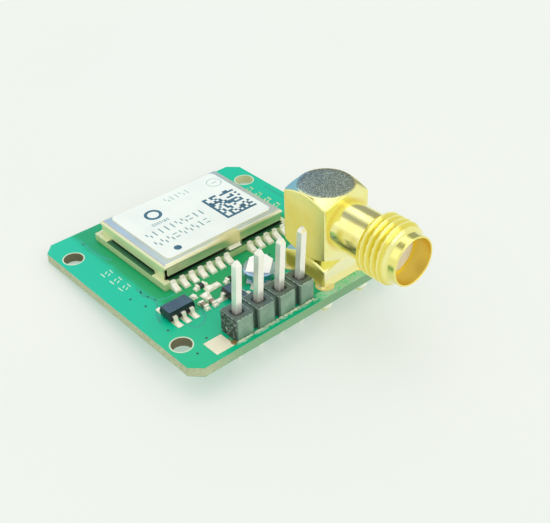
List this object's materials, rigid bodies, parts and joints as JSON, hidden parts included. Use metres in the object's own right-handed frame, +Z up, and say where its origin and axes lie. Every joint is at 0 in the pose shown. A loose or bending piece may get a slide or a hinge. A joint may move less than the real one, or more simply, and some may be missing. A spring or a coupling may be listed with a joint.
{
  "type": "gps module",
  "caption": "Small satellite positioning receiver board with a shielded receiver, a straight pin header, a backup cell and a right angle coaxial aerial jack.",
  "frame": {"origin": "axis of the front left mounting hole, at the underside of the circuit board", "axes": "+X along the pin header to the aerial jack, +Y from the header edge to the back edge, +Z up out of the board"},
  "size_m": [0.0254, 0.0332, 0.0126],
  "materials": {
    "green_mask": "glossy solder mask over glass laminate",
    "module_laminate": "thin glass laminate with a green mask and bare edges",
    "tinned_copper": "hot tinned copper",
    "solder": "bright solder",
    "shield_metal": "tin plated sheet",
    "label": "matt white label",
    "black_epoxy": "moulded epoxy",
    "oscillator_can": "plated lid",
    "chip_ceramic": "fired ceramic",
    "header_plastic": "moulded plastic",
    "pin_metal": "tin plated brass",
    "gold_plate": "bright gold plate over brass",
    "white_insulator": "waxy white plastic",
    "tinned_lead": "tin plated",
    "cell_metal": "pressed steel",
    "cell_tab_metal": "plain steel strip",
    "resistor_body": "dark glaze",
    "capacitor_body": "fired ceramic"
  },
  "bodies": {
    "root": {"circuit_board": "green_mask", "surface_pads": "tinned_copper", "test_pad": "tinned_copper", "module_board": "module_laminate", "module_shield": "shield_metal", "module_label": "label", "module_joints": "solder", "shield_joints": "solder", "receiver_chip": "black_epoxy", "reference_oscillator": "oscillator_can", "clock_crystal": "oscillator_can", "input_filter": "chip_ceramic", "input_amplifier": "black_epoxy", "supply_inductor": "chip_ceramic", "module_passives": "chip_ceramic", "header_housing": "header_plastic", "header_joints": "solder", "header_pin_1": "pin_metal", "header_pin_2": "pin_metal", "header_pin_3": "pin_metal", "header_pin_4": "pin_metal", "jack_block": "gold_plate", "jack_barrel": "gold_plate", "jack_contact": "gold_plate", "jack_centre_pin": "gold_plate", "jack_back_plug": "gold_plate", "jack_insulator": "white_insulator", "jack_base_insulator": "white_insulator", "jack_joints": "solder", "regulator_body": "black_epoxy", "regulator_leads": "tinned_lead", "transistor_body": "black_epoxy", "transistor_leads": "tinned_lead", "backup_cell": "cell_metal", "cell_top_tab": "cell_tab_metal", "cell_bottom_tab": "cell_tab_metal", "resistor_bodies": "resistor_body", "capacitor_bodies": "capacitor_body", "chip_ends": "tinned_lead", "component_joints": "solder"}
  },
  "joints": []
}
